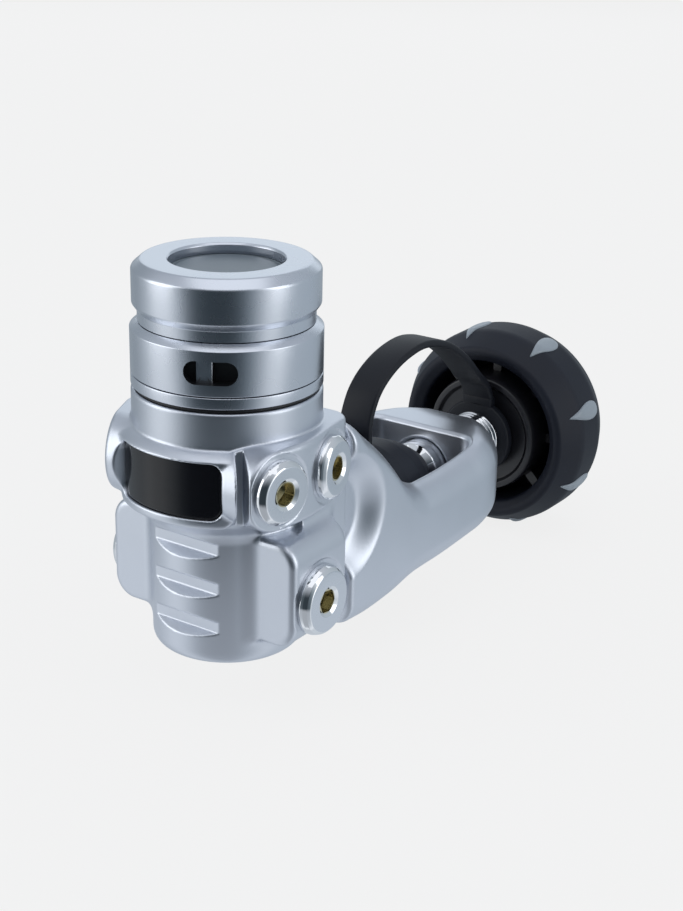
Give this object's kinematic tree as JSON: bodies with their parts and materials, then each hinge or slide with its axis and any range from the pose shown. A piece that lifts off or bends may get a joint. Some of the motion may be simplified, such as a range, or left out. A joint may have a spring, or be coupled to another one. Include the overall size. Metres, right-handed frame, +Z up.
{
  "type": "scuba regulator first stage",
  "caption": "Sealed balanced diaphragm first stage of a scuba regulator set, with plugged ports, a yoke clamp, a hand screw with a rubber knob and a dust cap on a strap.",
  "frame": {"origin": "centre of the inlet's seal face, where the tank valve seats", "axes": "+X along the yoke axis towards the knob, +Z up along the body's own axis, away from its base; the label is on the -X side"},
  "size_m": [0.1631, 0.0564, 0.1008],
  "materials": {
    "satin_metal": "satin pearl chrome plating",
    "bright_chrome": "polished chrome plating",
    "label_black": "gloss",
    "black_rubber": "matt",
    "seal_rubber": "matt",
    "grey_membrane": "matt",
    "black_plastic": "satin",
    "grey_inserts": "satin",
    "plain_brass": "turned",
    "white_plastic": "satin",
    "stainless": "bright",
    "sintered_bronze": "sintered, matt"
  },
  "bodies": {
    "root": {"main_body": "satin_metal", "label_plate": "label_black", "housing_gasket": "seal_rubber", "clamp_ring": "satin_metal", "spring_housing": "satin_metal", "dry_chamber_cap": "satin_metal", "outer_membrane": "grey_membrane", "membrane_ring": "plain_brass", "diaphragm": "seal_rubber", "diaphragm_washer": "plain_brass", "valve_seat": "plain_brass", "valve_seat_seal": "seal_rubber", "balance_plug": "plain_brass", "balance_plug_seal": "seal_rubber", "main_spring": "stainless", "poppet_spring": "stainless", "low_plug_front_right": "bright_chrome", "low_plug_rear_right": "bright_chrome", "low_plug_rear_left": "bright_chrome", "high_plug_right": "bright_chrome", "high_plug_left": "bright_chrome", "low_plug_seals": "seal_rubber", "high_plug_seals": "seal_rubber", "yoke": "satin_metal", "inlet_fitting": "bright_chrome", "inlet_filter": "sintered_bronze", "filter_clip": "stainless"},
    "dust_cover": {"dust_cap": "black_rubber", "dust_strap": "black_rubber"},
    "strap_loop": {"strap_ring": "black_rubber"},
    "screw_and_knob": {"yoke_screw": "bright_chrome", "knob_core": "black_plastic", "knob_grip": "black_rubber", "knob_inserts": "grey_inserts", "knob_end_cap": "black_plastic", "knob_pin": "stainless"},
    "valve_train": {"load_transmitter": "white_plastic", "spring_button": "plain_brass", "lifter": "plain_brass", "poppet": "stainless"},
    "spring_seat": {"spring_washer": "white_plastic"},
    "adjuster": {"adjusting_screw": "plain_brass"}
  },
  "joints": [
    {"name": "dust_cap_swivel", "type": "hinge", "parent": "root", "child": "dust_cover", "pos_m": [0, 0, 0], "axis": [1, 0, 0], "range_deg": [-25, 25]},
    {"name": "screw_travel", "type": "slide", "parent": "dust_cover", "child": "strap_loop", "axis": [1, 0, 0], "range_m": [0, 0.006], "deforming": ["dust_strap"]},
    {"name": "knob_turn", "type": "hinge", "parent": "strap_loop", "child": "screw_and_knob", "pos_m": [0.063, 0, 0], "axis": [1, 0, 0], "range_deg": [0, 1440]},
    {"name": "valve_lift", "type": "slide", "parent": "root", "child": "valve_train", "axis": [0, 0, 1], "range_m": [0, 0.0012], "stiffness_N_per_m": 5000, "deforming": ["main_spring", "poppet_spring", "diaphragm", "outer_membrane"]},
    {"name": "adjuster_travel", "type": "slide", "parent": "root", "child": "spring_seat", "axis": [0, 0, 1], "range_m": [-0.0005, 0.0005]},
    {"name": "adjuster_turn", "type": "hinge", "parent": "spring_seat", "child": "adjuster", "pos_m": [-0.048, 0, 0.06], "axis": [0, 0, 1], "range_deg": [-180, 180]}
  ],
  "couplings": [
    {"joint": "knob_turn", "follows": "screw_travel", "rad_per_m": 4188.8},
    {"joint": "adjuster_travel", "follows": "adjuster_turn", "m_per_rad": 0.000159}
  ]
}
